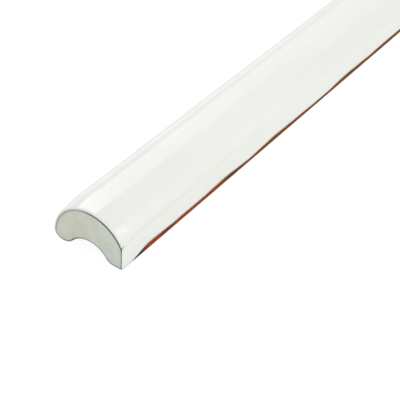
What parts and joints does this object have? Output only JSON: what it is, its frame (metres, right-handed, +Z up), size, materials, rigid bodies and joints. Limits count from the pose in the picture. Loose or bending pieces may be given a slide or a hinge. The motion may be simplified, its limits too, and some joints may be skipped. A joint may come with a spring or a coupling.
{
  "type": "torello trim tile",
  "caption": "Half-round torello trim tile: white glazed dome, straight glazed side with bare red clay along its base, rounded other side, hollow back.",
  "frame": {"origin": "middle of the tile's box at the level of the two feet, which stand on Z = 0", "axes": "+X along the tile, +Z up through the dome, the straight side faces -Y and the round side +Y"},
  "size_m": [0.2, 0.02, 0.0122],
  "materials": {
    "glazed_tile": "white gloss glaze over pressed red clay, bare clay on the back and along the base of the straight side"
  },
  "bodies": {
    "root": {"torello_tile": "glazed_tile"}
  },
  "joints": []
}
